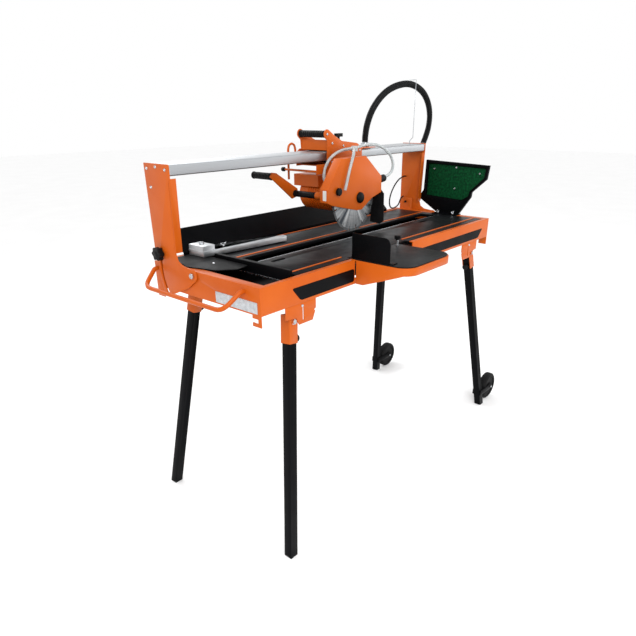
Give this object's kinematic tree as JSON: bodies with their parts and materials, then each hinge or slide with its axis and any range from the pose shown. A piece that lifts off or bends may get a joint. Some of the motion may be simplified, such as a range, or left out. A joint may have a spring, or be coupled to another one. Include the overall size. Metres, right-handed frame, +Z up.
{
  "type": "bridge tile saw",
  "caption": "Electric bridge tile saw with a water tray, tilting guide rail, sliding saw head with a hooded blade, pull-out side table and folding wheeled legs.",
  "frame": {"origin": "on the floor, under the middle of the saw's bounding box (its free conduit hose left out)", "axes": "+Z up, +X along the table away from the carry handle, towards the wheels; the extension table is on the -Y side, where the user stands"},
  "size_m": [1.5917, 0.7725, 1.4416],
  "materials": {
    "orange_paint": "orange powder coat",
    "black_paint": "black powder coat",
    "black_plastic": "moulded black plastic",
    "table_rubber": "smooth black rubber sheet",
    "wheel_rubber": "solid black tyre and hub",
    "flap_rubber": "black rubber sheet",
    "zinc_steel": "zinc plated",
    "blade_steel": "ground blade steel",
    "rail_aluminium": "extruded, satin",
    "guide_aluminium": "cast and machined",
    "green_liner": "green splash mat",
    "clear_tube": "soft translucent tube",
    "hose_plastic": "corrugated conduit"
  },
  "bodies": {
    "base": {"table_frame": "orange_paint", "water_tray": "black_paint", "table_plate": "black_paint", "table_mat": "table_rubber", "end_fence": "black_paint", "rear_splash_guard": "black_paint", "side_splash_guard": "black_paint", "guard_liner": "green_liner", "carry_handle": "orange_paint", "water_pump": "black_plastic", "mitre_base": "black_paint", "leg_bracket_front_left": "orange_paint", "leg_bracket_rear_left": "orange_paint", "leg_bracket_front_right": "orange_paint", "leg_bracket_rear_right": "orange_paint"},
    "tilt_knob_l": {"tilt_knob_left": "black_plastic"},
    "tilt_knob_r": {"tilt_knob_right": "black_plastic"},
    "mitre": {"mitre_guide": "guide_aluminium"},
    "extension": {"extension_tray": "orange_paint", "extension_mat": "table_rubber", "stop_plate": "black_paint"},
    "extension_knob_l": {"extension_knob_left": "black_plastic"},
    "extension_knob_r": {"extension_knob_right": "black_plastic"},
    "bridge": {"left_post": "orange_paint", "right_post": "orange_paint", "guide_rail": "rail_aluminium", "tilt_pivot_bolt_left": "zinc_steel", "tilt_pivot_bolt_right": "zinc_steel", "conduit_hose": "hose_plastic", "hose_hanger": "zinc_steel", "pump_cable": "black_plastic"},
    "carriage": {"carriage_frame": "orange_paint", "handle_grip": "black_plastic", "hose_clamp": "zinc_steel", "cable_hook": "orange_paint"},
    "lock_knob": {"carriage_lock_knob": "black_plastic"},
    "roller_ul": {"roller_upper_left": "black_plastic"},
    "roller_ur": {"roller_upper_right": "black_plastic"},
    "roller_lo": {"roller_lower": "black_plastic"},
    "head": {"motor_housing": "orange_paint", "head_arm": "orange_paint", "lever_plate": "orange_paint", "grip_rear": "black_plastic", "grip_side": "black_plastic", "blade_hood": "orange_paint", "hood_cap": "black_plastic", "water_tubes": "clear_tube"},
    "blade": {"saw_blade": "blade_steel", "blade_spindle": "zinc_steel"},
    "flap": {"splash_flap": "flap_rubber"},
    "leg_front_left": {"leg_front_left": "black_paint"},
    "knob_front_left": {"leg_knob_front_left": "black_plastic"},
    "leg_rear_left": {"leg_rear_left": "black_paint"},
    "knob_rear_left": {"leg_knob_rear_left": "black_plastic"},
    "leg_front_right": {"leg_front_right": "black_paint"},
    "knob_front_right": {"leg_knob_front_right": "black_plastic"},
    "leg_rear_right": {"leg_rear_right": "black_paint"},
    "knob_rear_right": {"leg_knob_rear_right": "black_plastic"},
    "wheel_front_right": {"wheel_front_right": "wheel_rubber"},
    "wheel_rear_right": {"wheel_rear_right": "wheel_rubber"}
  },
  "joints": [
    {"name": "bridge_tilt", "type": "hinge", "parent": "base", "child": "bridge", "pos_m": [-0.0291, 0.0988, 0.878], "axis": [1, 0, 0], "range_deg": [0, 45], "deforming": ["splash_flap"]},
    {"name": "carriage_slide", "type": "slide", "parent": "bridge", "child": "carriage", "axis": [1, 0, 0], "range_m": [-0.44, 0.3], "deforming": ["conduit_hose"]},
    {"name": "head_plunge", "type": "hinge", "parent": "carriage", "child": "head", "pos_m": [0.1259, 0.1138, 1.12], "axis": [0, 1, 0], "range_deg": [-10, 2]},
    {"name": "blade_spin", "type": "hinge", "parent": "head", "child": "blade", "pos_m": [0.0139, 0.0678, 1.0295], "axis": [0, 1, 0], "continuous": true},
    {"name": "splash_flap_swing", "type": "hinge", "parent": "head", "child": "flap", "pos_m": [0.1574, 0.0558, 1.04], "axis": [0, 1, 0], "range_deg": [-40, 0]},
    {"name": "carriage_lock_turn", "type": "hinge", "parent": "carriage", "child": "lock_knob", "pos_m": [0.0534, 0.1738, 1.211], "axis": [0, 0, 1], "continuous": true},
    {"name": "roller_upper_left_roll", "type": "hinge", "parent": "carriage", "child": "roller_ul", "pos_m": [-0.0071, 0.2203, 1.1939], "axis": [0, 1, 0], "continuous": true},
    {"name": "roller_upper_right_roll", "type": "hinge", "parent": "carriage", "child": "roller_ur", "pos_m": [0.1429, 0.2203, 1.1939], "axis": [0, 1, 0], "continuous": true},
    {"name": "roller_lower_roll", "type": "hinge", "parent": "carriage", "child": "roller_lo", "pos_m": [0.0659, 0.2203, 1.1461], "axis": [0, 1, 0], "continuous": true},
    {"name": "tilt_knob_left_turn", "type": "hinge", "parent": "base", "child": "tilt_knob_l", "pos_m": [-0.7246, 0.2438, 0.925], "axis": [1, 0, 0], "continuous": true},
    {"name": "tilt_knob_right_turn", "type": "hinge", "parent": "base", "child": "tilt_knob_r", "pos_m": [0.6664, 0.2438, 0.925], "axis": [1, 0, 0], "continuous": true},
    {"name": "mitre_swivel", "type": "hinge", "parent": "base", "child": "mitre", "pos_m": [-0.5791, 0.2318, 0.9], "axis": [0, 0, 1], "range_deg": [-12, 0]},
    {"name": "extension_slide", "type": "slide", "parent": "base", "child": "extension", "axis": [0, -1, 0], "range_m": [0, 0.1]},
    {"name": "extension_knob_l_turn", "type": "hinge", "parent": "extension", "child": "extension_knob_l", "pos_m": [-0.2761, -0.1822, 0.892], "axis": [0, 0, 1], "continuous": true},
    {"name": "extension_knob_r_turn", "type": "hinge", "parent": "extension", "child": "extension_knob_r", "pos_m": [-0.0551, -0.1822, 0.892], "axis": [0, 0, 1], "continuous": true},
    {"name": "leg_fold_front_left", "type": "hinge", "parent": "base", "child": "leg_front_left", "pos_m": [-0.5883, -0.165, 0.76], "axis": [0, 0.9929, -0.1191], "range_deg": [-98, 0]},
    {"name": "leg_knob_front_left_turn", "type": "hinge", "parent": "leg_front_left", "child": "knob_front_left", "pos_m": [-0.58135, -0.17176, 0.70369], "axis": [0.9884, -0.0181, -0.151], "continuous": true},
    {"name": "leg_fold_rear_left", "type": "hinge", "parent": "base", "child": "leg_rear_left", "pos_m": [-0.5883, 0.2766, 0.76], "axis": [0, 0.9929, 0.1191], "range_deg": [-98, 0]},
    {"name": "leg_knob_rear_left_turn", "type": "hinge", "parent": "leg_rear_left", "child": "knob_rear_left", "pos_m": [-0.58135, 0.28336, 0.70369], "axis": [0.9884, 0.0181, -0.151], "continuous": true},
    {"name": "leg_fold_front_right", "type": "hinge", "parent": "base", "child": "leg_front_right", "pos_m": [0.5301, -0.165, 0.76], "axis": [0, 0.9929, -0.1191], "range_deg": [0, 85]},
    {"name": "leg_knob_front_right_turn", "type": "hinge", "parent": "leg_front_right", "child": "knob_front_right", "pos_m": [0.52315, -0.17176, 0.70369], "axis": [0.9884, 0.0181, 0.151], "continuous": true},
    {"name": "wheel_front_right_roll", "type": "hinge", "parent": "leg_front_right", "child": "wheel_front_right", "pos_m": [0.7309, -0.2482, 0.0665], "axis": [0, 1, 0], "continuous": true},
    {"name": "leg_fold_rear_right", "type": "hinge", "parent": "base", "child": "leg_rear_right", "pos_m": [0.5301, 0.2766, 0.76], "axis": [0, 0.9929, 0.1191], "range_deg": [0, 85]},
    {"name": "leg_knob_rear_right_turn", "type": "hinge", "parent": "leg_rear_right", "child": "knob_rear_right", "pos_m": [0.52315, 0.28336, 0.70369], "axis": [0.9884, -0.0181, 0.151], "continuous": true},
    {"name": "wheel_rear_right_roll", "type": "hinge", "parent": "leg_rear_right", "child": "wheel_rear_right", "pos_m": [0.7309, 0.3598, 0.0665], "axis": [0, 1, 0], "continuous": true}
  ],
  "couplings": [
    {"joint": "roller_upper_left_roll", "follows": "carriage_slide", "rad_per_m": 117.65},
    {"joint": "roller_upper_right_roll", "follows": "carriage_slide", "rad_per_m": 117.65},
    {"joint": "roller_lower_roll", "follows": "carriage_slide", "rad_per_m": -117.65}
  ]
}
